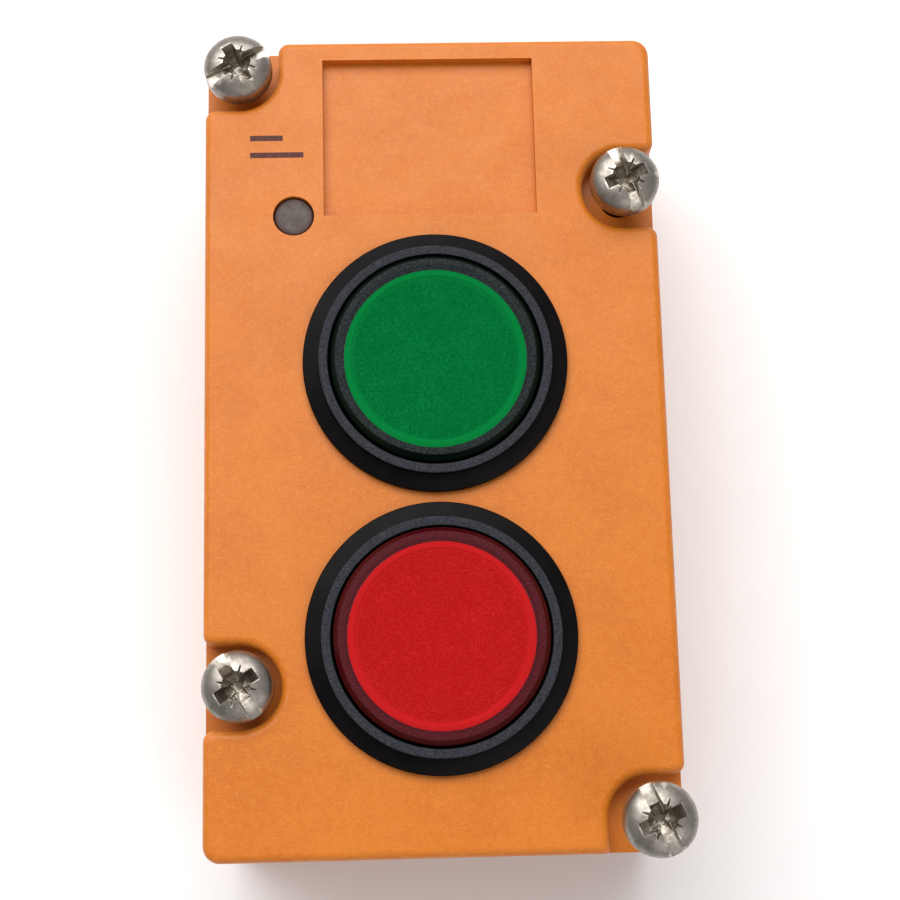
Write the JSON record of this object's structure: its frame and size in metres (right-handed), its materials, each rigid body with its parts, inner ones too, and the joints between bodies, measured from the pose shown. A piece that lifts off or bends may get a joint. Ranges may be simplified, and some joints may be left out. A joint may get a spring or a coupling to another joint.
{
  "type": "pushbutton control module",
  "caption": "Orange plug-on control module with illuminated green and red pushbuttons, status lamp window, label recess and captive screws.",
  "frame": {"origin": "centre of the rear rim, in the plane that meets the base", "axes": "+Z out of the front face with the buttons, +Y towards the end with the label recess, +X to the right seen from the front"},
  "size_m": [0.045, 0.08, 0.0358],
  "materials": {
    "housing_orange": "fine moulded texture",
    "bezel_black": "satin",
    "cover_black": "moulded",
    "seal_rubber": "matt",
    "screw_steel": "turned, slightly tarnished",
    "ring_nylon": "natural",
    "green_lens": "clear green",
    "green_disc": "translucent",
    "red_lens": "clear red",
    "red_disc": "translucent",
    "plunger_white": "moulded",
    "spring_steel": "drawn wire",
    "nut_grey": "moulded",
    "switch_black": "moulded",
    "stem_white": "moulded",
    "board_green": "solder resist",
    "chip_black": "moulded",
    "choke_ferrite": "ferrite and varnish",
    "can_aluminium": "drawn",
    "diode_clear": "clear",
    "guide_smoke": "smoky",
    "pin_brass": "plated"
  },
  "bodies": {
    "housing": {"front_housing": "housing_orange", "rear_cover": "cover_black", "rear_seal": "seal_rubber", "cover_screws": "screw_steel", "contact_shroud": "cover_black", "contact_seal": "seal_rubber", "contact_pins": "pin_brass", "circuit_board": "board_green", "board_screws": "screw_steel", "bus_chip": "chip_black", "supply_choke": "choke_ferrite", "buffer_capacitors": "can_aluminium", "status_led": "diode_clear", "status_light_guide": "guide_smoke", "green_bezel": "bezel_black", "green_bezel_gasket": "seal_rubber", "green_lock_nut": "nut_grey", "green_return_spring": "spring_steel", "green_switch_body": "switch_black", "green_lamp_led": "diode_clear", "red_bezel": "bezel_black", "red_bezel_gasket": "seal_rubber", "red_lock_nut": "nut_grey", "red_return_spring": "spring_steel", "red_switch_body": "switch_black", "red_lamp_led": "diode_clear"},
    "green_button": {"green_lens_cap": "green_lens", "green_diffuser": "green_disc", "green_plunger": "plunger_white"},
    "green_stem": {"green_switch_stem": "stem_white"},
    "red_button": {"red_lens_cap": "red_lens", "red_diffuser": "red_disc", "red_plunger": "plunger_white"},
    "red_stem": {"red_switch_stem": "stem_white"},
    "top_left_ring": {"retaining_ring_top_left": "ring_nylon"},
    "top_left_screw": {"captive_screw_top_left": "screw_steel"},
    "top_right_ring": {"retaining_ring_top_right": "ring_nylon"},
    "top_right_screw": {"captive_screw_top_right": "screw_steel"},
    "bottom_left_ring": {"retaining_ring_bottom_left": "ring_nylon"},
    "bottom_left_screw": {"captive_screw_bottom_left": "screw_steel"},
    "bottom_right_ring": {"retaining_ring_bottom_right": "ring_nylon"},
    "bottom_right_screw": {"captive_screw_bottom_right": "screw_steel"}
  },
  "joints": [
    {"name": "green_press", "type": "slide", "parent": "housing", "child": "green_button", "axis": [0, 0, -1], "range_m": [0, 0.003], "stiffness_N_per_m": 600, "springref_m": -0.001, "deforming": ["green_return_spring"]},
    {"name": "green_stem_slide", "type": "slide", "parent": "housing", "child": "green_stem", "axis": [0, 0, -1], "range_m": [0, 0.003]},
    {"name": "red_press", "type": "slide", "parent": "housing", "child": "red_button", "axis": [0, 0, -1], "range_m": [0, 0.003], "stiffness_N_per_m": 600, "springref_m": -0.001, "deforming": ["red_return_spring"]},
    {"name": "red_stem_slide", "type": "slide", "parent": "housing", "child": "red_stem", "axis": [0, 0, -1], "range_m": [0, 0.003]},
    {"name": "top_left_lift", "type": "slide", "parent": "housing", "child": "top_left_ring", "axis": [0, 0, 1], "range_m": [-0.00288, 0.00753]},
    {"name": "top_left_turn", "type": "hinge", "parent": "top_left_ring", "child": "top_left_screw", "pos_m": [-0.0187, 0.0364, 0.0076], "axis": [0, 0, 1], "continuous": true},
    {"name": "top_right_lift", "type": "slide", "parent": "housing", "child": "top_right_ring", "axis": [0, 0, 1], "range_m": [-0.00418, 0.00623]},
    {"name": "top_right_turn", "type": "hinge", "parent": "top_right_ring", "child": "top_right_screw", "pos_m": [0.0187, 0.0238, 0.0089], "axis": [0, 0, 1], "continuous": true},
    {"name": "bottom_left_lift", "type": "slide", "parent": "housing", "child": "bottom_left_ring", "axis": [0, 0, 1], "range_m": [-0.00308, 0.00733]},
    {"name": "bottom_left_turn", "type": "hinge", "parent": "bottom_left_ring", "child": "bottom_left_screw", "pos_m": [-0.0187, -0.0238, 0.0078], "axis": [0, 0, 1], "continuous": true},
    {"name": "bottom_right_lift", "type": "slide", "parent": "housing", "child": "bottom_right_ring", "axis": [0, 0, 1], "range_m": [-0.00738, 0.00303]},
    {"name": "bottom_right_turn", "type": "hinge", "parent": "bottom_right_ring", "child": "bottom_right_screw", "pos_m": [0.0187, -0.0364, 0.0121], "axis": [0, 0, 1], "continuous": true}
  ],
  "couplings": [
    {"joint": "green_stem_slide", "follows": "green_press", "ratio": 1},
    {"joint": "red_stem_slide", "follows": "red_press", "ratio": 1}
  ]
}
